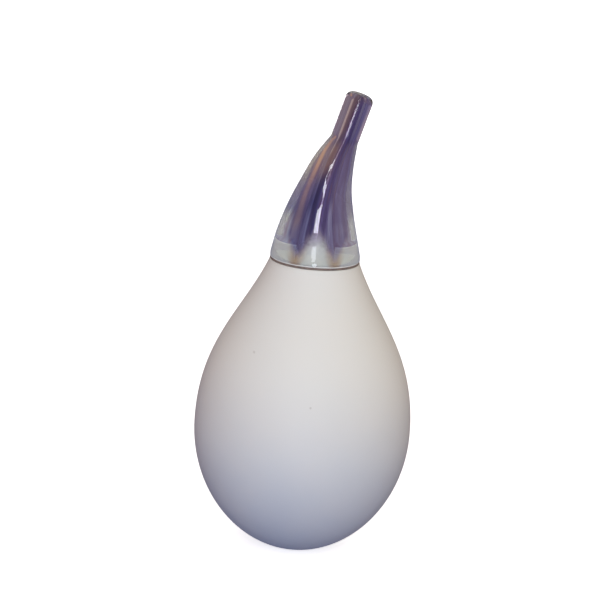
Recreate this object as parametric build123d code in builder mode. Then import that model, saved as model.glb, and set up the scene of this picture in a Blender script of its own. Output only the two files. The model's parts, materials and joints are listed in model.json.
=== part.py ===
from build123d import *

import os
from math import cos, radians, sin

# Squeeze bulb for blowing dust: a soft pear-shaped bulb, a thin seal ring and a bent clear nozzle.
# Frame: origin at the centre of the flat base, +Z up the bulb's axis, the nozzle bends towards +X.
# All sizes are in millimetres and all angles in degrees.

# Bulb, outside
bulb_height = 71.6          # base to the top of the neck
belly_radius = 26.35        # at the widest place
belly_height = 30.0         # of the widest place above the base
base_radius = 6.0           # the small flat that it stands on
neck_radius = 10.95         # at the top of the neck
neck_slope = 22.0           # between the neck's side and the axis
neck_edge = 0.4             # rounding of the neck's rim
base_slope = 74.0           # between the side and the axis at the flat's edge
base_pull = 12.2            # how far the side keeps straight on from the flat's edge
belly_drop = 14.3           # how far the side keeps straight down from the belly
belly_rise = 19.6           # how far the side keeps straight up from the belly
neck_pull = 15.5            # how far the side keeps straight down from the neck

# Bulb, inside
bulb_wall = 2.4
collar_depth = 13.0         # thick part of the neck that grips the spigot
collar_slope = 50.0         # between the top of the air chamber and the axis
collar_pull = 7.0           # how far the chamber's top keeps straight down from the collar
floor_pull = 13.0           # how far the chamber's floor keeps straight out from the axis

# Seal ring
ring_thickness = 0.5
ring_inset = 0.15           # the ring's edge stands this far inside the neck's edge

# Nozzle
flange_inset = 0.15         # the flange's edge stands this far inside the neck's edge
flange_height = 1.2         # straight foot of the horn
flange_edge = 0.3           # rounding of the flange's lower edge
spigot_radius = 6.4
spigot_length = 10.0        # below the flange
spigot_chamfer = 0.8
spigot_clearance = 0.05     # around the spigot, in the neck and in the ring
bore_foot_radius = 3.2      # from the spigot's end up to the horn
bore_waist_radius = 2.1     # in the horn's body
bore_tip_radius = 1.3       # in the straight tip
tip_radius = 3.35
tip_tilt = 15.8             # between the tip and the bulb's axis
tip_length = 11.6
tip_rounding = 1.5          # of the tip's rim

horn_height = 29.3          # from the flange's lower face to the foot of the straight tip
horn_reach = 4.85           # of the tip's foot along X

# The horn's sections between its foot and the tip's foot. Each value is a share of the way from
# the one to the other: in height, in reach, in radius and in tilt.
horn_sections = [
    (0.22, 0.00, 0.16, 0.06),
    (0.43, 0.10, 0.39, 0.31),
    (0.63, 0.30, 0.62, 0.63),
    (0.82, 0.59, 0.80, 0.88),
]
bore_waist_section = 1      # the horn section where the bore has its waist radius

neck_bore_radius = spigot_radius + spigot_clearance
collar_bottom = bulb_height - collar_depth
flange_bottom = bulb_height + ring_thickness
flange_top = flange_bottom + flange_height
flange_radius = neck_radius - flange_inset


def horn_plane(height_share, reach_share, tilt_share):
    """The plane of a horn section, turned about Y so that it looks up and towards +X."""
    lean = radians(tip_tilt * tilt_share)
    return Plane(
        origin=(horn_reach * reach_share, 0, flange_bottom + horn_height * height_share),
        x_dir=(cos(lean), 0, -sin(lean)),
        z_dir=(sin(lean), 0, cos(lean)),
    )


def widened(radius, height, slope, pull):
    """The point that a side reaches from a rim as it widens by the slope, down if pull is negative."""
    lean = radians(slope)
    return (radius + abs(pull) * sin(lean), height + pull * cos(lean))


# Bulb: one turned wall, thin round the air chamber and thick where the neck grips the spigot.
chamber_radius = belly_radius - bulb_wall
with BuildPart() as bulb:
    with BuildSketch(Plane.XZ) as wall:
        with BuildLine():
            Bezier(
                (base_radius, 0),
                widened(base_radius, 0, base_slope, base_pull),
                (belly_radius, belly_height - belly_drop),
                (belly_radius, belly_height),
            )
            Bezier(
                (belly_radius, belly_height),
                (belly_radius, belly_height + belly_rise),
                widened(neck_radius, bulb_height, neck_slope, -neck_pull),
                (neck_radius, bulb_height),
            )
            Polyline(
                (neck_radius, bulb_height),
                (neck_bore_radius, bulb_height),
                (neck_bore_radius, collar_bottom),
            )
            Bezier(
                (neck_bore_radius, collar_bottom),
                widened(neck_bore_radius, collar_bottom, collar_slope, -collar_pull),
                (chamber_radius, belly_height + belly_rise),
                (chamber_radius, belly_height),
            )
            Bezier(
                (chamber_radius, belly_height),
                (chamber_radius, belly_height - belly_drop),
                (floor_pull, bulb_wall),
                (0, bulb_wall),
            )
            Polyline((0, bulb_wall), (0, 0), (base_radius, 0))
        make_face()
        neck_rim = wall.vertices().group_by(Axis.Y)[-1].sort_by(Axis.X)[-1]
        fillet(neck_rim, neck_edge)
    revolve(axis=Axis.Z)

# Seal ring: a flat washer between the neck's rim and the nozzle's flange.
with BuildPart() as seal_ring:
    with BuildSketch(Plane.XY.offset(bulb_height)):
        Circle(neck_radius - ring_inset)
        Circle(neck_bore_radius, mode=Mode.SUBTRACT)
    extrude(amount=ring_thickness)

# Nozzle: spigot, flange, bent horn and straight tip in one thick clear moulding with one bore.
horn_end = horn_plane(1, 1, 1)
with BuildPart() as nozzle:
    with BuildSketch(Plane.XY.offset(flange_bottom)):
        Circle(flange_radius)
    extrude(amount=flange_height)
    fillet(nozzle.edges().group_by(Axis.Z)[0], flange_edge)

    with BuildSketch(Plane.XY.offset(flange_top)):
        Circle(flange_radius)
    for height_share, reach_share, radius_share, tilt_share in horn_sections:
        with BuildSketch(horn_plane(height_share, reach_share, tilt_share)):
            Circle(flange_radius + (tip_radius - flange_radius) * radius_share)
    with BuildSketch(horn_end):
        Circle(tip_radius)
    loft()

    with BuildSketch(horn_end):
        Circle(tip_radius)
    extrude(amount=tip_length)
    tip_rim = nozzle.edges().filter_by(GeomType.CIRCLE).sort_by(Axis.Z)[-1]
    fillet(tip_rim, tip_rounding)

    with BuildSketch(Plane.XY.offset(flange_bottom)):
        Circle(spigot_radius)
    extrude(amount=-spigot_length)
    chamfer(nozzle.edges().group_by(Axis.Z)[0], spigot_chamfer)

    with BuildSketch(Plane.XY.offset(flange_top)):
        Circle(bore_foot_radius)
    extrude(amount=-flange_height - spigot_length, mode=Mode.SUBTRACT)

    waist_height, waist_reach, _, waist_tilt = horn_sections[bore_waist_section]
    with BuildSketch(Plane.XY.offset(flange_top)):
        Circle(bore_foot_radius)
    with BuildSketch(horn_plane(waist_height, waist_reach, waist_tilt)):
        Circle(bore_waist_radius)
    with BuildSketch(horn_end):
        Circle(bore_tip_radius)
    loft(mode=Mode.SUBTRACT)

    with BuildSketch(horn_end):
        Circle(bore_tip_radius)
    extrude(amount=tip_length, mode=Mode.SUBTRACT)

os.makedirs("parts", exist_ok=True)
bulb.part.label = "bulb"
export_step(bulb.part, "parts/bulb.step")
seal_ring.part.label = "seal_ring"
export_step(seal_ring.part, "parts/seal_ring.step")
nozzle.part.label = "nozzle"
export_step(nozzle.part, "parts/nozzle.step")
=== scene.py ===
"""Dust blower bulb: a soft squeeze bulb, a thin seal ring and a bent clear nozzle.

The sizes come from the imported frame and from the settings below, in metres. Each piece has its own
operator, and the panel in the 3D view's sidebar lists them.
"""
import json
import math

import bmesh
import bpy
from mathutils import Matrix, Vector


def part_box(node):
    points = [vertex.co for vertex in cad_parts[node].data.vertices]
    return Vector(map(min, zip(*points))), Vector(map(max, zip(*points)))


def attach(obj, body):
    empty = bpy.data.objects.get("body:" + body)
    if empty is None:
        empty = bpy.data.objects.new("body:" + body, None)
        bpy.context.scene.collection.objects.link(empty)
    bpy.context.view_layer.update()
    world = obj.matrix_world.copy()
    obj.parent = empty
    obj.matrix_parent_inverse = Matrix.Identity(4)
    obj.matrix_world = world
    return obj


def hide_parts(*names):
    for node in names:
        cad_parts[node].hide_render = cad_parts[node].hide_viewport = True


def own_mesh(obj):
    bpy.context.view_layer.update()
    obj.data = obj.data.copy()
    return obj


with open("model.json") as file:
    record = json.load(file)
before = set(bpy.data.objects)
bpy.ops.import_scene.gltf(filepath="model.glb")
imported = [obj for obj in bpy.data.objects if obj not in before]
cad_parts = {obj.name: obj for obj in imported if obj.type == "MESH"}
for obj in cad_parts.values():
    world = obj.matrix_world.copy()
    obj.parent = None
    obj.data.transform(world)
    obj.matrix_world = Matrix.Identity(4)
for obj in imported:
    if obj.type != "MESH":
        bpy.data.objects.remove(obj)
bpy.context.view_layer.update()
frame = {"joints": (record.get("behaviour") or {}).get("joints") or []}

bl_info = {
    "name": "Dust Blower Bulb",
    "version": (1, 0, 0),
    "blender": (4, 5, 0),
    "location": "View3D > Sidebar > Dust Blower",
    "description": "Builds a squeeze bulb with a bent clear nozzle around its packed frame",
    "category": "Add Mesh",
}

MM = 0.001
BULB_LOW, BULB_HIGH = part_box("bulb")
RING_LOW, RING_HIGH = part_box("seal_ring")
NOZZLE_LOW, NOZZLE_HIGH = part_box("nozzle")
SQUEEZE = next(joint for joint in frame["joints"] if joint["name"] == "bulb_squeeze")
SQUEEZE_TRAVEL = max(SQUEEZE["range_m"])


# ---------------------------------------------------------------- node trees


class Value:
    """A socket of a node tree. Arithmetic on it adds Math nodes to the tree."""

    def __init__(self, graph, socket):
        self.graph = graph
        self.socket = socket

    def math(self, operation, *operands):
        inputs = dict(enumerate(operands))
        return self.graph.node("ShaderNodeMath", {"operation": operation}, inputs)

    def __add__(self, other):
        return self.math("ADD", self, other)

    def __sub__(self, other):
        return self.math("SUBTRACT", self, other)

    def __rsub__(self, other):
        return self.math("SUBTRACT", other, self)

    def __mul__(self, other):
        return self.math("MULTIPLY", self, other)

    def __truediv__(self, other):
        return self.math("DIVIDE", self, other)

    def __neg__(self):
        return 0.0 - self

    __radd__ = __add__
    __rmul__ = __mul__

    def size(self):
        """The number without its sign."""
        return self.math("ABSOLUTE", self)

    def power(self, exponent):
        """A power of the number, or 0 where it is negative."""
        return self.math("POWER", self.math("MAXIMUM", self, 0.0), exponent)

    def step(self, low, high):
        """0 below low, 1 above high and a smooth step between them."""
        settings = {"interpolation_type": "SMOOTHSTEP"}
        inputs = {"Value": self, "From Min": low, "From Max": high}
        return self.graph.node("ShaderNodeMapRange", settings, inputs)

    def fade(self, low, high):
        """1 below low, 0 above high and a smooth step between them."""
        return 1 - self.step(low, high)

    def hump(self, low, full, past, high):
        """1 from full to past, 0 below low and above high, with smooth steps between them."""
        return self.step(low, full) * self.fade(past, high)


class Graph:
    """A node tree that is written as calls."""

    def __init__(self, tree):
        self.tree = tree
        tree.nodes.clear()

    def node(self, kind, settings=None, inputs=None, output=0):
        """Adds a node: its settings first, then the values or links of its sockets."""
        node = self.tree.nodes.new(kind)
        for name, value in (settings or {}).items():
            if name == "stops":
                self.set_stops(node.color_ramp, value)
            else:
                setattr(node, name, value)
        for key, value in (inputs or {}).items():
            self.feed(node.inputs[key], value)
        return Value(self, node.outputs[output]) if node.outputs else None

    def feed(self, socket, value):
        if isinstance(value, Value):
            self.tree.links.new(value.socket, socket)
        else:
            socket.default_value = value

    def set_stops(self, ramp, stops):
        while len(ramp.elements) < len(stops):
            ramp.elements.new(1.0)
        for element, (position, colour) in zip(ramp.elements, stops):
            element.position = position
            element.color = (*colour, 1.0)

    def mix(self, factor, first, second):
        """One colour turning into another."""
        # The node's colour sockets share their names with others, so they go by number.
        inputs = {0: factor, 6: opaque(first), 7: opaque(second)}
        return self.node("ShaderNodeMix", {"data_type": "RGBA"}, inputs, output=2)

    def layered(self, colour, layers):
        """A colour with others laid over it in turn, each as far as its own cover says."""
        for cover, tone in layers:
            colour = self.mix(cover, colour, tone)
        return colour

    def vector(self, x, y):
        """A place in the plane of a flat drawing."""
        return self.node("ShaderNodeCombineXYZ", inputs={0: x, 1: y})

    def parts(self, vector):
        """The three numbers of a vector."""
        split = self.tree.nodes.new("ShaderNodeSeparateXYZ")
        self.feed(split.inputs[0], vector)
        return [Value(self, socket) for socket in split.outputs]

    def scaled(self, vector, scale):
        """A vector multiplied by three numbers."""
        inputs = {0: vector, 1: scale}
        return self.node("ShaderNodeVectorMath", {"operation": "MULTIPLY"}, inputs)

    def distance(self, vector, point):
        """How far a place is from a point."""
        inputs = {0: vector, 1: point}
        return self.node("ShaderNodeVectorMath", {"operation": "DISTANCE"}, inputs, output="Value")

    def noise(self, vector, scale, detail=2.0, roughness=0.5):
        inputs = {"Vector": vector, "Scale": scale, "Detail": detail, "Roughness": roughness}
        return self.node("ShaderNodeTexNoise", inputs=inputs)


def opaque(colour):
    return colour if isinstance(colour, Value) else (*colour, 1.0)


# ---------------------------------------------------------------- finishes


# Fineness of the patterns, in cells to the metre.
SILICONE_CLOUDS = 55.0
SILICONE_GRAIN = 2600.0
RUBBER_GRAIN = 1500.0
PLASTIC_STREAKS = 420.0
PLASTIC_RIPPLE = 260.0
FROST_GRAIN = 900.0
SEAT_CLOUDS = 300.0
FLOOR_MOTTLE = 3.0

# The dust specks on the bulb's front: how far along X and how high.
SPECKS = [(-12.7 * MM, 52.2 * MM), (1.5 * MM, 41.9 * MM)]
# How strongly they show, how far out they start to fade and how far out they have gone.
SPECK_STRENGTH = 0.3
SPECK_FADE = (0.3 * MM, 0.6 * MM)


def new_material(name):
    """A material with an empty tree and its Object coordinates."""
    material = bpy.data.materials.new(name)
    material.use_nodes = True
    graph = Graph(material.node_tree)
    place = graph.node("ShaderNodeTexCoord", output="Object")
    return material, graph, place


def close_material(graph, shader_inputs):
    shader = graph.node("ShaderNodeBsdfPrincipled", inputs=shader_inputs)
    graph.node("ShaderNodeOutputMaterial", inputs={"Surface": shader})


def bump(graph, height, strength, distance):
    inputs = {"Height": height, "Strength": strength, "Distance": distance}
    return graph.node("ShaderNodeBump", inputs=inputs)


def distance_from_axis(graph, place):
    """How far a place is from the bulb's axis."""
    flat = graph.scaled(place, (1.0, 1.0, 0.0))
    return graph.distance(flat, (0.0, 0.0, 0.0))


def dust(graph, place, grain):
    """Where the specks show: on the front only, with ragged edges."""
    front = (-graph.parts(place)[1]).step(0.0, 1.0 * MM)
    upright = graph.scaled(place, (1.0, 0.0, 1.0))
    shown = 0.0
    for x, z in SPECKS:
        away = graph.distance(upright, (x, 0.0, z)) + grain * (0.4 * MM)
        shown = away.fade(*SPECK_FADE) * front * SPECK_STRENGTH + shown
    return shown


def soft_silicone(settings):
    """Satin off-white silicone: cloudy tone, fine moulded grain, two dust specks, painted shade at
    the base, painted glow at the neck.
    """
    material, graph, place = new_material("soft_silicone")
    height = graph.parts(place)[2]
    clouds = graph.noise(place, SILICONE_CLOUDS, 3.0)
    grain = graph.noise(place, SILICONE_GRAIN, 2.0, 0.6)
    # Painted shade: the silicone turns cooler and darker towards the base, up to the foot fade's
    # height.
    body = height.step(0.0, settings.foot_fade)
    tone = graph.layered(settings.foot_shade_colour, [
        (body, settings.colour),
        (clouds.step(0.35, 0.75) * 0.12, settings.cloud_colour),
        (dust(graph, place, grain), settings.speck_colour),
    ])
    # Painted light: the collar glows near its bore, most of all in its upper half, as if light came
    # through it.
    near_bore = distance_from_axis(graph, place).fade(
        settings.neck_lit - 0.5 * MM, settings.neck_lit
    )
    collar_foot = BULB_HIGH.z - settings.collar_depth
    collar_middle = BULB_HIGH.z - 0.5 * settings.collar_depth
    lit = near_bore * height.step(collar_foot, collar_middle)
    close_material(graph, {
        "Emission Color": graph.mix(lit, (0.0, 0.0, 0.0), settings.neck_painted_glow),
        "Emission Strength": 1.0,
        "Base Color": tone,
        "Roughness": clouds * 0.12 + 0.46,
        "Subsurface Weight": settings.translucency,
        "Subsurface Radius": (1.0, 0.8, 0.7),
        "Subsurface Scale": 3 * MM,
        "Specular IOR Level": 0.35,
        "Normal": bump(graph, grain, 0.12, 0.02 * MM),
    })
    return material


def dark_rubber(settings):
    """Dull dark rubber with fine grain."""
    material, graph, place = new_material("dark_rubber")
    grain = graph.noise(place, RUBBER_GRAIN, 3.0)
    tone = graph.mix(grain.step(0.3, 0.7), settings.colour, settings.worn_colour)
    close_material(graph, {
        "Base Color": tone,
        "Roughness": grain * 0.2 + 0.5,
        "Normal": bump(graph, grain, 0.2, 0.03 * MM),
    })
    return material


def tint_and_painted_room(graph, place, settings):
    """The clear plastic's colour: nearly clear by the flange, smoky violet above, warm at the tip,
    with painted refraction laid in.
    """
    x, _, z = graph.parts(place)
    rise = (z - RING_HIGH.z) / settings.horn_height
    # Across is measured from the horn's leaning middle line. Beside is the same on either side,
    # with the horn's taper taken out.
    lean = 1.9
    taper = 0.62
    across = x - settings.horn_reach * rise.power(lean)
    beside = across.size() / (1 - taper * rise)
    outer_side = across.fade(-1.5 * MM, 0.8 * MM)
    tip = rise.step(0.9, 1.1)

    # Painted refraction of the room seen in the plastic: pale streaks, a warm tip with a pale inner
    # edge and a warm shoulder. The dark blue lower flank is painted shade, and the lighter middle is
    # painted light in place of the key lamp's reflection. The smoke colour is partly the plastic's
    # own violet tint and partly painted dark.
    streaks = graph.noise(graph.scaled(place, (1.0, 1.0, 0.12)), PLASTIC_STREAKS, 3.0, 0.6)
    flank = outer_side * rise.fade(0.42, 0.62) * beside.step(2.5 * MM, 5.0 * MM)
    core = beside.fade(0.5 * MM, 4.0 * MM) * 0.85
    shoulder = rise.hump(0.60, 0.80, 0.92, 1.04) * outer_side
    foot_sides = beside.step(7.8 * MM, 9.4 * MM) * rise.fade(0.30, 0.45)
    smoke = graph.layered(settings.smoke_and_shade_colour, [
        (streaks.step(0.35, 0.65), settings.painted_streak_colour),
        (flank, settings.flank_shade_colour),
        (core, settings.core_light_colour),
        (outer_side * tip, settings.painted_tip_colour),
        (across.step(2.2 * MM, 2.9 * MM) * tip, settings.painted_tip_colour),
        (shoulder, settings.painted_shoulder_colour),
        (foot_sides, settings.clear_colour),
    ])

    # The smoke's lower edge is ragged, and dips towards the flange on either side of the middle. The
    # dips and their warm tips are painted refraction.
    dip = beside.hump(1.5 * MM, 4.9 * MM, 4.9 * MM, 8.0 * MM)
    edge = rise + streaks * 0.12 + dip * 0.12
    return graph.layered(settings.clear_colour, [
        (edge.step(0.12, 0.18) * dip, settings.painted_dip_colour),
        (edge.step(0.21, 0.31), smoke),
    ])


def frosting(graph, place, settings):
    """The frosted foot of the bore, painted as a pale glowing arch: how far it covers the plastic,
    and its shader, whose glow is painted light and whose warm fringe is painted refraction.
    """
    x, _, z = graph.parts(place)
    height = z - RING_HIGH.z
    off = x.size() / settings.bore_foot
    grain = graph.noise(place, FROST_GRAIN, 3.0, 0.7)
    fringe = off.step(0.5, 1.0) * height.step(0.0, 3.0 * MM)
    haze = graph.layered(settings.seat_colour, [
        (grain, settings.seat_shade),
        (fringe, settings.painted_fringe_colour),
    ])
    frosted = graph.node("ShaderNodeBsdfPrincipled", inputs={
        "Base Color": haze,
        "Roughness": 0.7,
        "Emission Color": haze,
        "Emission Strength": settings.seat_painted_glow,
    })
    in_bore = distance_from_axis(graph, place).fade(
        settings.bore_foot, settings.bore_foot + 0.3 * MM
    )
    # Painted light: the pale arch over the bore's foot.
    arch = height + grain * (3 * MM) + off * off * (4.5 * MM)
    return arch.fade(3.5 * MM, 9.0 * MM) * in_bore, frosted


def clear_plastic(settings):
    """Clear moulded plastic, a little smoky above the flange and frosted at the bore's foot, with
    painted refraction, shade and light in its colour.
    """
    material, graph, place = new_material("clear_plastic")
    ripple = graph.noise(graph.scaled(place, (1.0, 1.0, 0.3)), PLASTIC_RIPPLE, 1.0)
    clear = graph.node("ShaderNodeBsdfPrincipled", inputs={
        "Base Color": tint_and_painted_room(graph, place, settings),
        "Roughness": 0.02,
        "IOR": settings.ior,
        "Transmission Weight": 1.0,
        "Normal": bump(graph, ripple, 0.5, 0.08 * MM),
    })
    frost, frosted = frosting(graph, place, settings)
    surface = graph.node("ShaderNodeMixShader", inputs={0: frost, 1: clear, 2: frosted})
    graph.node("ShaderNodeOutputMaterial", inputs={"Surface": surface})
    return material


def seated_silicone(settings):
    """The pale silicone that the clear spigot and flange are pressed against, painted on their faces
    with clouds of painted shade and a glow of painted light in place of light from outside.
    """
    material, graph, place = new_material("seated_silicone")
    clouds = graph.noise(place, SEAT_CLOUDS, 2.0)
    tone = graph.mix(clouds, settings.seat_colour, settings.seat_shade)
    close_material(graph, {
        "Base Color": tone,
        "Roughness": 0.6,
        "Emission Color": tone,
        "Emission Strength": settings.seat_painted_glow,
    })
    return material


def paper_floor(settings):
    """A pale floor with a faint mottle."""
    material, graph, place = new_material("paper_floor")
    mottle = graph.noise(place, FLOOR_MOTTLE, 2.0)
    tone = graph.mix(mottle, settings.floor_colour, settings.mottle_colour)
    close_material(graph, {
        "Base Color": tone,
        "Roughness": 0.9,
        "Emission Color": (1.0, 1.0, 1.0, 1.0),
        "Emission Strength": settings.floor_glow,
    })
    return material


# ---------------------------------------------------------------- turned pieces


def turned_tree(name, sizes, outline, material, turns):
    """A node tree that turns an outline about Z. The outline is drawn as radius and height."""
    tree = bpy.data.node_groups.new(name, "GeometryNodeTree")
    graph = Graph(tree)
    tree.interface.new_socket("Geometry", in_out="OUTPUT", socket_type="NodeSocketGeometry")
    for size in sizes:
        socket = tree.interface.new_socket(size, in_out="INPUT", socket_type="NodeSocketFloat")
        socket.subtype = "DISTANCE"
    entry = tree.nodes.new("NodeGroupInput")
    given = {size: Value(graph, entry.outputs[size]) for size in sizes}

    # The outline stands one arm's length away from the axis, and a circle of that radius sweeps it.
    # The sweep turns the outline's second direction downwards, so heights are entered below zero.
    arm = 0.1
    weld = 0.002 * MM
    drawn = tree.nodes.new("GeometryNodeJoinGeometry")
    for points, steps in outline(given):
        corners = [graph.vector(radius - arm, -height) for radius, height in points]
        keys = ("Start", "Start Handle", "End Handle", "End")
        inputs = dict(zip(keys, corners), Resolution=steps)
        settings = {"mode": "POSITION"}
        piece = graph.node("GeometryNodeCurvePrimitiveBezierSegment", settings, inputs)
        tree.links.new(piece.socket, drawn.inputs[0])
    circle = graph.node(
        "GeometryNodeCurvePrimitiveCircle",
        {"mode": "RADIUS"},
        {"Resolution": turns, "Radius": arm},
    )
    profile = Value(graph, drawn.outputs[0])
    wall = graph.node("GeometryNodeCurveToMesh", inputs={0: circle, "Profile Curve": profile})
    welded = graph.node("GeometryNodeMergeByDistance", inputs={0: wall, "Distance": weld})
    whole = graph.node("GeometryNodeRealizeInstances", inputs={0: welded})
    finished = graph.node("GeometryNodeSetMaterial", inputs={0: whole, "Material": material})
    graph.node("NodeGroupOutput", inputs={0: finished})
    return tree


def grow(name, tree, values):
    """Runs a node tree with its named sizes and returns the result as a plain mesh object."""
    seed = bpy.data.objects.new(name + "_seed", bpy.data.meshes.new(name + "_seed"))
    bpy.context.collection.objects.link(seed)
    modifier = seed.modifiers.new("Tree", "NODES")
    modifier.node_group = tree
    for item in tree.interface.items_tree:
        if item.item_type == "SOCKET" and item.in_out == "INPUT":
            modifier[item.identifier] = values[item.name]
    depsgraph = bpy.context.evaluated_depsgraph_get()
    mesh = bpy.data.meshes.new_from_object(seed.evaluated_get(depsgraph))
    bpy.data.objects.remove(seed)
    mesh.name = name
    piece = bpy.data.objects.new(name, mesh)
    bpy.context.collection.objects.link(piece)
    face_outwards(mesh)
    return piece


def face_outwards(mesh, sharp=35):
    """Turns the faces outwards and shades them smooth, with edges over the sharp angle kept."""
    shape = bmesh.new()
    shape.from_mesh(mesh)
    bmesh.ops.recalc_face_normals(shape, faces=shape.faces)
    shape.to_mesh(mesh)
    shape.free()
    mesh.shade_smooth()
    mesh.set_sharp_from_angle(angle=math.radians(sharp))


def straight(start, end):
    """A straight stretch as the four points of a curve."""
    mean = [(a + b) / 2 for a, b in zip(start, end)]
    return [start, mean, mean, end]


def rounded(start, corner, end):
    """A quarter round between two points, given its corner."""
    pull = 0.55228
    first = [a * (1 - pull) + b * pull for a, b in zip(start, corner)]
    last = [a * (1 - pull) + b * pull for a, b in zip(end, corner)]
    return [start, first, last, end]


def ride_as(piece, body, slot, *nodes):
    """Puts a finished piece in the place of its CAD nodes."""
    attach(piece, body)
    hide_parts(*nodes)


# ---------------------------------------------------------------- settings


def length(name, millimetres, description):
    return bpy.props.FloatProperty(
        name=name,
        description=description,
        default=millimetres * MM,
        subtype="DISTANCE",
        unit="LENGTH",
        precision=5,
    )


def factor(name, value, description):
    return bpy.props.FloatProperty(
        name=name, description=description, default=value, min=0.0, max=2.0, subtype="FACTOR"
    )


def tint(name, colour, description):
    return bpy.props.FloatVectorProperty(
        name=name, description=description, default=colour, size=3, subtype="COLOR", min=0.0
    )


class BulbSettings(bpy.types.PropertyGroup):
    """Sizes and colours of the squeeze bulb"""

    belly_height: length("Belly height", 30.0, "Height of the widest place above the base")
    base_radius: length("Base radius", 6.0, "Radius of the small flat under the bulb")
    base_rise: length("Base rise", 3.36, "Height of the side's first handle")
    base_pull: length("Base pull", 11.73, "Reach of the side's first handle")
    belly_drop: length("Belly drop", 14.3, "How far the side keeps straight down from the belly")
    belly_rise: length("Belly rise", 19.6, "How far the side keeps straight up from the belly")
    neck_pull: length("Neck pull", 14.37, "Height of the neck's handle below its rim")
    neck_flare: length("Neck flare", 5.81, "Reach of the neck's handle outside its rim")
    neck_edge: length("Neck edge", 0.4, "Rounding of the neck's rim")
    neck_inset: length("Neck inset", 0.15, "How far the seal ring stands inside the neck")
    wall: length("Wall", 2.4, "Thickness of the wall round the air chamber")
    bore_gap: length("Bore gap", 0.05, "Gap between the spigot and the neck's bore")
    collar_depth: length("Collar depth", 13.0, "Length of the neck's bore")
    collar_drop: length("Collar drop", 4.5, "How far the chamber's top handle hangs down")
    collar_flare: length("Collar flare", 5.36, "Reach of the chamber's top handle")
    floor_pull: length("Floor pull", 13.0, "How far the chamber's floor keeps straight out")
    colour: tint("Colour", (0.665, 0.675, 0.65), "Colour of the silicone")
    # Painted shade: the cooler, darker colour that the silicone takes towards the base.
    foot_shade_colour: tint("Foot colour", (0.45, 0.50, 0.59), "Colour of the silicone near the base")
    foot_fade: length("Foot fade", 55.0, "Height where the foot's colour has gone")
    cloud_colour: tint("Cloud colour", (0.74, 0.70, 0.64), "Colour of its faint clouds")
    speck_colour: tint("Speck colour", (0.22, 0.19, 0.17), "Colour of the specks of dust")
    # Painted light: inside the lit radius the neck glows by itself.
    neck_lit: length("Neck lit radius", 9.0, "Radius inside which light shines through the neck")
    neck_painted_glow: tint("Neck glow", (0.42, 0.46, 0.45), "Light that comes through the neck's silicone")
    translucency: factor("Translucency", 0.12, "How far light spreads inside the silicone")


class RingSettings(bpy.types.PropertyGroup):
    """Sizes and colours of the seal ring"""

    edge: length("Edge", 0.22, "Rounding of the ring's outer edges")
    lift: length("Lift", 0.04, "Gap between the ring and the clear flange")
    colour: tint("Colour", (0.13, 0.10, 0.095), "Colour of the rubber")
    worn_colour: tint("Worn colour", (0.22, 0.17, 0.15), "Colour of its rubbed grain")


class NozzleSettings(bpy.types.PropertyGroup):
    """Sizes and colours of the nozzle"""

    flange_inset: length("Flange inset", 0.15, "How far the flange stands inside the neck")
    flange_height: length("Flange height", 1.2, "Height of the horn's straight foot")
    flange_edge: length("Flange edge", 0.3, "Rounding of the flange's lower edge")
    horn_height: length("Horn height", 29.3, "From the flange up to the foot of the tip")
    horn_reach: length("Horn reach", 4.85, "How far the foot of the tip stands out along X")
    tip_radius: length("Tip radius", 3.35, "Outer radius of the straight tip")
    tip_length: length("Tip length", 11.6, "Length of the straight tip")
    tip_rounding: length("Tip rounding", 1.5, "Rounding of the tip's rim")
    tip_tilt: bpy.props.FloatProperty(
        name="Tip tilt",
        description="Angle between the tip and the bulb's axis",
        default=math.radians(15.8),
        subtype="ANGLE",
        unit="ROTATION",
    )
    spigot_radius: length("Spigot radius", 6.4, "Outer radius of the spigot")
    spigot_chamfer: length("Spigot chamfer", 0.8, "Chamfer at the spigot's end")
    bore_foot: length("Bore foot", 3.2, "Radius of the bore in the spigot")
    bore_waist: length("Bore waist", 2.1, "Radius of the bore in the horn")
    bore_tip: length("Bore tip", 1.3, "Radius of the bore in the tip")
    ior: bpy.props.FloatProperty(
        name="IOR", description="Refraction of the plastic", default=1.49, min=1.0, max=2.0
    )
    # Painted on the nozzle's seated faces and frosted foot: the silicone's colour, a painted shade
    # and a glow that is painted light.
    seat_colour: tint("Seat colour", (0.64, 0.64, 0.60), "Silicone seen through the flange")
    seat_shade: tint("Seat shade", (0.50, 0.52, 0.52), "Shaded silicone seen through the flange")
    seat_painted_glow: factor("Seat glow", 0.30, "Light that comes through the silicone round the spigot")
    # Painted refraction: the warm sides of the frosted foot.
    painted_fringe_colour: tint("Fringe colour", (0.36, 0.25, 0.19), "Frosted foot's warm sides")
    clear_colour: tint("Clear colour", (0.93, 0.97, 0.96), "Tint near the flange")
    # Painted refraction of the room: the smoke is partly the plastic's own tint and partly painted
    # dark, the flank is painted shade, the core is painted light, and the streak, tip, shoulder and
    # dip colours are painted refraction.
    smoke_and_shade_colour: tint("Smoke colour", (0.24, 0.20, 0.43), "Tint of the horn and the tip")
    painted_tip_colour: tint("Tip colour", (0.68, 0.56, 0.54), "Tint of the tip's outer side")
    painted_shoulder_colour: tint("Shoulder colour", (0.84, 0.68, 0.58), "Tint of the horn's shoulder")
    painted_streak_colour: tint("Streak colour", (0.30, 0.27, 0.48), "Tint of the horn's pale streaks")
    flank_shade_colour: tint("Flank colour", (0.12, 0.13, 0.37), "Tint of the horn's lower outer side")
    core_light_colour: tint("Core colour", (0.70, 0.60, 0.80), "Tint of the horn's middle")
    painted_dip_colour: tint("Dip colour", (0.50, 0.28, 0.16), "Tint where the smoke dips to the flange")


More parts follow.
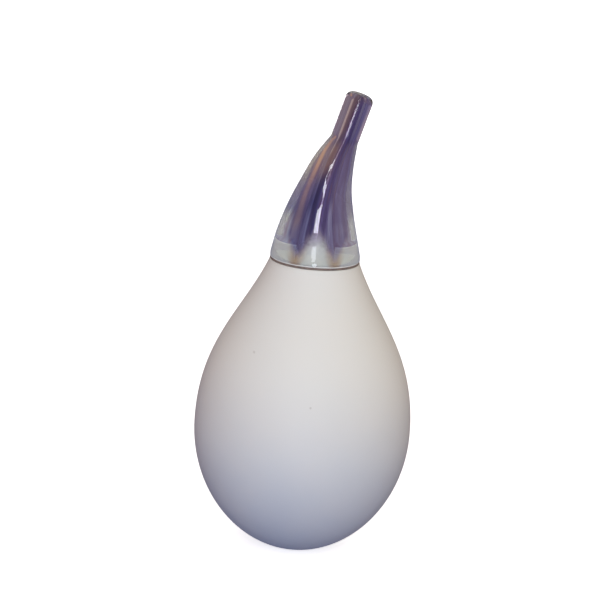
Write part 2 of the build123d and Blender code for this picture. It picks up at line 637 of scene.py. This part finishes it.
class StageSettings(bpy.types.PropertyGroup):
    """Floor and camera"""

    floor_colour: tint("Floor colour", (0.90, 0.90, 0.90), "Colour of the floor")
    mottle_colour: tint("Mottle colour", (0.93, 0.93, 0.93), "Colour of its faint mottle")
    floor_glow: factor("Floor glow", 0.65, "Light that the floor gives by itself")
    elevation: bpy.props.FloatProperty(
        name="Elevation",
        description="Height of the camera above the horizon",
        default=math.radians(14.0),
        subtype="ANGLE",
    )
    roll: bpy.props.FloatProperty(
        name="Roll",
        description="How far the camera is turned about its line of sight",
        default=math.radians(4.3),
        subtype="ANGLE",
    )
    distance: length("Distance", 600.0, "From the camera to the point it looks at")
    frame_width: length("Frame width", 144.8, "Width of the view at that point")
    aim_height: length("Aim height", 61.46, "Height of that point")
    aim_side: length("Aim side", -2.81, "Place of that point along X")


# ---------------------------------------------------------------- pieces


def bulb_outline(size):
    """The bulb's wall: outside from the base up, over the rim and down through the chamber."""
    belly, high = size["Belly Radius"], size["Height"]
    middle, wall = size["Belly Height"], size["Wall"]
    neck, bore, edge = size["Neck Radius"], size["Bore Radius"], size["Neck Edge"]
    base, collar = size["Base Radius"], size["Height"] - size["Collar Depth"]
    inside = belly - wall
    outer_low = [
        (base, 0.0),
        (base + size["Base Pull"], size["Base Rise"]),
        (belly, middle - size["Belly Drop"]),
        (belly, middle),
    ]
    outer_high = [
        (belly, middle),
        (belly, middle + size["Belly Rise"]),
        (neck + size["Neck Flare"], high - size["Neck Pull"]),
        (neck, high - edge),
    ]
    chamber_high = [
        (bore, collar),
        (bore + size["Collar Flare"], collar - size["Collar Drop"]),
        (inside, middle + size["Belly Rise"]),
        (inside, middle),
    ]
    chamber_low = [
        (inside, middle),
        (inside, middle - size["Belly Drop"]),
        (size["Floor Pull"], wall),
        (0.0, wall),
    ]
    return [
        (straight((0.0, 0.0), (base, 0.0)), 4),
        (outer_low, 48),
        (outer_high, 48),
        (rounded((neck, high - edge), (neck, high), (neck - edge, high)), 6),
        (straight((neck - edge, high), (bore, high)), 4),
        (straight((bore, high), (bore, collar)), 8),
        (chamber_high, 32),
        (chamber_low, 32),
    ]


def ring_outline(size):
    """The ring's section: flat where it bears, rounded at its outer edge."""
    bore, outer = size["Bore Radius"], size["Outer Radius"]
    low, high, edge = size["Low"], size["High"], size["Edge"]
    return [
        (straight((bore, low), (outer - edge, low)), 4),
        (rounded((outer - edge, low), (outer, low), (outer, low + edge)), 5),
        (straight((outer, low + edge), (outer, high - edge)), 2),
        (rounded((outer, high - edge), (outer, high), (outer - edge, high)), 5),
        (straight((outer - edge, high), (bore, high)), 4),
        (straight((bore, high), (bore, low)), 2),
    ]


# Stations of the horn: share of its height, then shares of its reach, of its taper and of its tilt.
HORN_STATIONS = [
    (0.04, 0.00, 0.00, 0.00),
    (0.22, 0.00, 0.16, 0.06),
    (0.43, 0.10, 0.39, 0.31),
    (0.63, 0.30, 0.62, 0.63),
    (0.82, 0.59, 0.80, 0.88),
    (1.00, 1.00, 1.00, 1.00),
]


def through(stations, at, column):
    """The smooth curve through a column of stations, whose first column is the place."""
    places = [row[0] for row in stations]
    values = [row[column] for row in stations]
    last = len(stations) - 1
    slopes = []
    for i in range(last + 1):
        a, b = max(i - 1, 0), min(i + 1, last)
        slopes.append((values[b] - values[a]) / (places[b] - places[a]))
    i = max(k for k in range(last) if places[k] <= max(at, places[0]))
    span = places[i + 1] - places[i]
    t = (at - places[i]) / span
    blend = t * t * (3 - 2 * t)
    lift = t * (1 - t) * (1 - t) * slopes[i] - t * t * (1 - t) * slopes[i + 1]
    return values[i] + (values[i + 1] - values[i]) * blend + lift * span


# Steps of the nozzle's rings: round the flange's lower edge, up the horn, up the tip, over its rim.
EDGE_STEPS = 4
HORN_STEPS = 72
TIP_STEPS = 8
RIM_STEPS = 8
# Share of the horn's height where the bore has its waist.
WAIST_SHARE = 0.43


class Horn:
    """The nozzle's line and its radii, from the flange's lower face up to the tip's rim."""

    def __init__(self, settings, seat, foot_radius):
        self.settings = settings
        self.seat = seat
        self.foot_radius = foot_radius

    def place(self, share):
        """Centre and tilt at a share of the horn's height."""
        settings = self.settings
        x = settings.horn_reach * through(HORN_STATIONS, share, 1)
        tilt = settings.tip_tilt * through(HORN_STATIONS, share, 3)
        return x, self.seat + settings.horn_height * share, tilt

    def along_tip(self, distance):
        """Centre and tilt at a distance up the straight tip."""
        x, z, tilt = self.place(1.0)
        return x + distance * math.sin(tilt), z + distance * math.cos(tilt), tilt

    def horn_ring(self, share, radius):
        x, z, tilt = self.place(share)
        return x, z, radius, tilt

    def tip_ring(self, distance, radius):
        x, z, tilt = self.along_tip(distance)
        return x, z, radius, tilt

    def outside(self):
        """Rings from the flange's rounded lower edge up to the tip's rim."""
        settings, foot, seat = self.settings, self.foot_radius, self.seat
        edge = settings.flange_edge
        rings = []
        for angle in quarter(EDGE_STEPS):
            height = seat + edge * (1 - math.cos(angle))
            rings.append((0.0, height, foot - edge * (1 - math.sin(angle)), 0.0))
        first = settings.flange_height / settings.horn_height
        for k in range(HORN_STEPS + 1):
            share = first + (1 - first) * k / HORN_STEPS
            taper = through(HORN_STATIONS, share, 2)
            rings.append(self.horn_ring(share, foot + (settings.tip_radius - foot) * taper))
        rounding = settings.tip_rounding
        straight_part = settings.tip_length - rounding
        for k in range(1, TIP_STEPS + 1):
            rings.append(self.tip_ring(straight_part * k / TIP_STEPS, settings.tip_radius))
        for angle in quarter(RIM_STEPS)[1:]:
            radius = settings.tip_radius - rounding * (1 - math.cos(angle))
            rings.append(self.tip_ring(straight_part + rounding * math.sin(angle), radius))
        return rings

    def inside(self):
        """Rings down the bore, from the tip's rim to the spigot's end, and back up the spigot."""
        settings, seat = self.settings, self.seat
        first = settings.flange_height / settings.horn_height
        bore = [
            (first, settings.bore_foot),
            (WAIST_SHARE, settings.bore_waist),
            (1.0, settings.bore_tip),
        ]
        rings = []
        for k in range(TIP_STEPS + 1):
            distance = settings.tip_length * (1 - k / TIP_STEPS)
            rings.append(self.tip_ring(distance, settings.bore_tip))
        for k in range(1, HORN_STEPS + 1):
            share = 1 - (1 - first) * k / HORN_STEPS
            rings.append(self.horn_ring(share, through(bore, share, 1)))
        low = NOZZLE_LOW.z
        chamfer = settings.spigot_chamfer
        rings.append((0.0, low, settings.bore_foot, 0.0))
        rings.append((0.0, low, settings.spigot_radius - chamfer, 0.0))
        rings.append((0.0, low + chamfer, settings.spigot_radius, 0.0))
        rings.append((0.0, seat, settings.spigot_radius, 0.0))
        return rings


def quarter(steps):
    """Angles from 0 to a right angle."""
    return [math.pi / 2 * k / steps for k in range(steps + 1)]


def skin(name, rings, turns, seated):
    """A closed skin through round rings, each a centre in the XZ plane, a radius and a tilt.

    The seated bands take the second material. They count from the first ring, backwards below 0.
    """
    shape = bmesh.new()
    loops = []
    for x, z, radius, tilt in rings:
        loop = []
        for k in range(turns):
            angle = 2 * math.pi * k / turns
            out = radius * math.cos(angle)
            place = (x + out * math.cos(tilt), radius * math.sin(angle), z - out * math.sin(tilt))
            loop.append(shape.verts.new(place))
        loops.append(loop)
    for band, (lower, upper) in enumerate(zip(loops, loops[1:] + loops[:1])):
        for k in range(turns):
            after = (k + 1) % turns
            face = shape.faces.new((lower[k], lower[after], upper[after], upper[k]))
            face.material_index = 1 if band in seated or band - len(loops) in seated else 0
    mesh = bpy.data.meshes.new(name)
    shape.to_mesh(mesh)
    shape.free()
    piece = bpy.data.objects.new(name, mesh)
    bpy.context.collection.objects.link(piece)
    face_outwards(mesh)
    return piece


# Steps round each piece.
BULB_TURNS = 160
RING_TURNS = 128
NOZZLE_TURNS = 128
# Bands of the nozzle that silicone is pressed against: the spigot's end, chamfer and side and the
# flange's underside, which come last, and the flange's rounded edge, which comes first.
SEATED_BANDS = range(-4, EDGE_STEPS)


# ---------------------------------------------------------------- operators


class DUSTBLOWER_OT_bulb(bpy.types.Operator):
    """Build the soft squeeze bulb"""

    bl_idname = "dust_blower.bulb"
    bl_label = "Bulb"

    def execute(self, context):
        settings = context.scene.dust_blower_bulb
        values = {
            "Belly Radius": BULB_HIGH.x,
            "Height": BULB_HIGH.z,
            "Neck Radius": RING_HIGH.x + settings.neck_inset,
            "Bore Radius": context.scene.dust_blower_nozzle.spigot_radius + settings.bore_gap,
            "Belly Height": settings.belly_height,
            "Base Radius": settings.base_radius,
            "Base Pull": settings.base_pull,
            "Base Rise": settings.base_rise,
            "Belly Drop": settings.belly_drop,
            "Belly Rise": settings.belly_rise,
            "Neck Pull": settings.neck_pull,
            "Neck Flare": settings.neck_flare,
            "Neck Edge": settings.neck_edge,
            "Wall": settings.wall,
            "Collar Depth": settings.collar_depth,
            "Collar Drop": settings.collar_drop,
            "Collar Flare": settings.collar_flare,
            "Floor Pull": settings.floor_pull,
        }
        tree = turned_tree("Bulb wall", values, bulb_outline, soft_silicone(settings), BULB_TURNS)
        piece = grow("squeeze_bulb", tree, values)
        ride_as(piece, "bulb", "soft_silicone", "bulb")
        high = BULB_HIGH.z
        (high - SQUEEZE_TRAVEL) / high
        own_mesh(piece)
        return {"FINISHED"}


class DUSTBLOWER_OT_ring(bpy.types.Operator):
    """Build the thin seal ring"""

    bl_idname = "dust_blower.ring"
    bl_label = "Seal ring"

    def execute(self, context):
        settings = context.scene.dust_blower_ring
        bulb = context.scene.dust_blower_bulb
        values = {
            "Bore Radius": context.scene.dust_blower_nozzle.spigot_radius + bulb.bore_gap,
            "Outer Radius": RING_HIGH.x,
            "Low": RING_LOW.z,
            "High": RING_HIGH.z - settings.lift,
            "Edge": settings.edge,
        }
        tree = turned_tree("Ring section", values, ring_outline, dark_rubber(settings), RING_TURNS)
        piece = grow("dark_seal_ring", tree, values)
        ride_as(piece, "neck_seat", "dark_rubber", "seal_ring")
        return {"FINISHED"}


class DUSTBLOWER_OT_nozzle(bpy.types.Operator):
    """Build the bent clear nozzle with its bore and spigot"""

    bl_idname = "dust_blower.nozzle"
    bl_label = "Nozzle"

    def execute(self, context):
        settings = context.scene.dust_blower_nozzle
        bulb = context.scene.dust_blower_bulb
        foot_radius = RING_HIGH.x + bulb.neck_inset - settings.flange_inset
        horn = Horn(settings, RING_HIGH.z, foot_radius)
        rings = horn.outside() + horn.inside()
        piece = skin("clear_nozzle", rings, NOZZLE_TURNS, SEATED_BANDS)
        piece.data.materials.append(clear_plastic(settings))
        piece.data.materials.append(seated_silicone(settings))
        ride_as(piece, "nozzle", "clear_plastic", "nozzle")
        return {"FINISHED"}


# ---------------------------------------------------------------- stage


FLOOR_RADIUS = 3.0
# Fineness of the streaks in the room that clear plastic shows.
ROOM_STREAKS = 6.0
# The middle of the whole part.
MIDDLE = (0.0, 0.0, 0.06)
# Colours of the lamps.
DAYLIGHT = (1.0, 0.99, 0.98)
SHADE = (0.98, 0.97, 1.0)
GLINT = (0.90, 0.94, 1.0)
LOW_GLINT = (0.85, 0.90, 1.0)

# Each lamp's name, place, size, power in watts, colour, the point it faces and the kinds of ray
# that don't see it.
LAMPS = [
    ("key", (0.0, -0.85, 0.36), (0.6, 0.6), 4.0, DAYLIGHT, MIDDLE, ["glossy"]),
    ("fill", (0.0, 0.85, 0.40), (0.8, 0.8), 2.0, SHADE, MIDDLE, ["glossy", "transmission"]),
    ("strip", (-0.03, -0.50, 0.261), (0.12, 0.033), 0.19, GLINT, (0.0, 0.0, 0.09), []),
    ("base strip", (-0.03, -0.50, 0.177), (0.09, 0.03), 0.055, GLINT, (0.0, 0.0, 0.08), []),
    ("low strip", (0.0, -0.50, -0.03), (0.09, 0.20), 0.5, LOW_GLINT, (0.0, 0.0, 0.1), []),
]


def hide(thing, rays):
    """Hides a lamp or a sheet from some kinds of ray."""
    for ray in rays:
        setattr(thing, "visible_" + ray, False)


def add_lamp(name, place, size, power, colour, aim, hidden):
    """A rectangular lamp that faces a point."""
    lamp = bpy.data.lights.new(name, "AREA")
    lamp.shape = "RECTANGLE"
    lamp.size, lamp.size_y = size
    lamp.energy = power
    lamp.color = colour
    holder = bpy.data.objects.new(name, lamp)
    bpy.context.collection.objects.link(holder)
    holder.location = place
    holder.rotation_euler = (Vector(aim) - Vector(place)).to_track_quat("-Z", "Y").to_euler()
    hide(holder, hidden)


def add_camera(settings):
    """Puts the camera in front, a little above the horizon and turned about its line of sight."""
    aim = Vector((settings.aim_side, 0.0, settings.aim_height))
    rise = settings.elevation
    back = Vector((0.0, -math.cos(rise), math.sin(rise)))
    camera = bpy.data.cameras.new("camera")
    camera.lens = camera.sensor_width * settings.distance / settings.frame_width
    holder = bpy.data.objects.new("camera", camera)
    bpy.context.collection.objects.link(holder)
    holder.location = aim + back * settings.distance
    holder.rotation_euler = (-back).to_track_quat("-Z", "Y").to_euler()
    holder.rotation_euler.rotate_axis("Z", settings.roll)
    bpy.context.scene.camera = holder


def flat_disc(name, radius, material):
    """A round sheet at the height of the bulb's base."""
    shape = bmesh.new()
    bmesh.ops.create_circle(shape, cap_ends=True, segments=96, radius=radius)
    mesh = bpy.data.meshes.new(name)
    shape.to_mesh(mesh)
    shape.free()
    mesh.materials.append(material)
    sheet = bpy.data.objects.new(name, mesh)
    bpy.context.collection.objects.link(sheet)
    return sheet


def soft_sky(graph, x, z):
    """The light from all round: cool from below, grey from above and warm at the sides."""
    sky = graph.node("ShaderNodeValToRGB", {"stops": [
        (0.0, (0.09, 0.10, 0.20)),
        (0.42, (0.15, 0.15, 0.26)),
        (0.55, (0.26, 0.23, 0.24)),
        (1.0, (0.60, 0.60, 0.62)),
    ]}, {0: z * 0.5 + 0.5})
    beside = z.step(-0.5, 0.1)
    return graph.layered(sky, [
        (x.step(0.3, 1.0) * beside, (0.85, 0.66, 0.46)),
        ((-x).step(0.3, 1.0) * beside, (0.62, 0.43, 0.34)),
    ])


def room_beyond(graph, direction, x, z):
    """What clear plastic shows: violet streaks, a warm patch, a pale wall and a pale ceiling."""
    streaks = graph.noise(graph.scaled(direction, (1.0, 1.0, 0.25)), ROOM_STREAKS, 3.0, 0.6)
    warm_patch = x.hump(0.29, 0.37, 0.42, 0.50) * (-z).step(0.48, 0.55)
    return graph.layered((0.19, 0.14, 0.22), [
        (streaks.step(0.40, 0.62), (0.28, 0.28, 0.38)),
        (warm_patch, (0.52, 0.36, 0.28)),
        (z.step(0.05, 0.6), (0.60, 0.62, 0.66)),
        ((-x).step(0.5, 0.7) * z.step(-0.06, 0.0), (0.50, 0.45, 0.48)),
    ])


def studio_world():
    """White behind the scene, a soft sky around it and a room that only clear plastic shows."""
    world = bpy.data.worlds.new("studio")
    bpy.context.scene.world = world
    world.use_nodes = True
    graph = Graph(world.node_tree)
    direction = graph.node("ShaderNodeTexCoord", output="Generated")
    x, _, z = graph.parts(direction)
    seen = graph.node("ShaderNodeLightPath", output="Is Camera Ray")
    through = graph.node("ShaderNodeLightPath", output="Is Transmission Ray")
    shown = graph.layered(soft_sky(graph, x, z), [
        (through, room_beyond(graph, direction, x, z)),
        (seen, (1.0, 1.0, 1.0)),
    ])
    light = graph.node("ShaderNodeBackground", inputs={"Color": shown, "Strength": 1.0})
    graph.node("ShaderNodeOutputWorld", inputs={"Surface": light})


class DUSTBLOWER_OT_stage(bpy.types.Operator):
    """Set up the floor, the lamps, the surroundings and the camera"""

    bl_idname = "dust_blower.stage"
    bl_label = "Stage"

    def execute(self, context):
        settings = context.scene.dust_blower_stage
        context.scene.view_settings.view_transform = "Standard"
        studio_world()
        floor = flat_disc("floor", FLOOR_RADIUS, paper_floor(settings))
        hide(floor, ["diffuse", "glossy", "transmission", "shadow"])
        for lamp in LAMPS:
            add_lamp(*lamp)
        add_camera(settings)
        return {"FINISHED"}


# ---------------------------------------------------------------- add-on


class DUSTBLOWER_PT_panel(bpy.types.Panel):
    """Lists the pieces and their settings"""

    bl_label = "Dust Blower Bulb"
    bl_idname = "DUSTBLOWER_PT_panel"
    bl_space_type = "VIEW_3D"
    bl_region_type = "UI"
    bl_category = "Dust Blower"

    def draw(self, context):
        for operator, settings in PARTS:
            box = self.layout.box()
            box.operator(operator.bl_idname)
            group = getattr(context.scene, settings)
            for name in group.bl_rna.properties.keys():
                if name not in ("rna_type", "name"):
                    box.prop(group, name)


PARTS = [
    (DUSTBLOWER_OT_bulb, "dust_blower_bulb"),
    (DUSTBLOWER_OT_ring, "dust_blower_ring"),
    (DUSTBLOWER_OT_nozzle, "dust_blower_nozzle"),
    (DUSTBLOWER_OT_stage, "dust_blower_stage"),
]
GROUPS = [BulbSettings, RingSettings, NozzleSettings, StageSettings]
CLASSES = GROUPS + [operator for operator, _ in PARTS] + [DUSTBLOWER_PT_panel]


def register():
    for item in CLASSES:
        bpy.utils.register_class(item)
    for (_, name), group in zip(PARTS, GROUPS):
        setattr(bpy.types.Scene, name, bpy.props.PointerProperty(type=group))


def unregister():
    for _, name in PARTS:
        delattr(bpy.types.Scene, name)
    for item in reversed(CLASSES):
        bpy.utils.unregister_class(item)


def main():
    """Builds every piece and the stage."""
    register()
    bpy.ops.dust_blower.bulb()
    bpy.ops.dust_blower.ring()
    bpy.ops.dust_blower.nozzle()
    bpy.ops.dust_blower.stage()


if __name__ == "__main__":
    main()
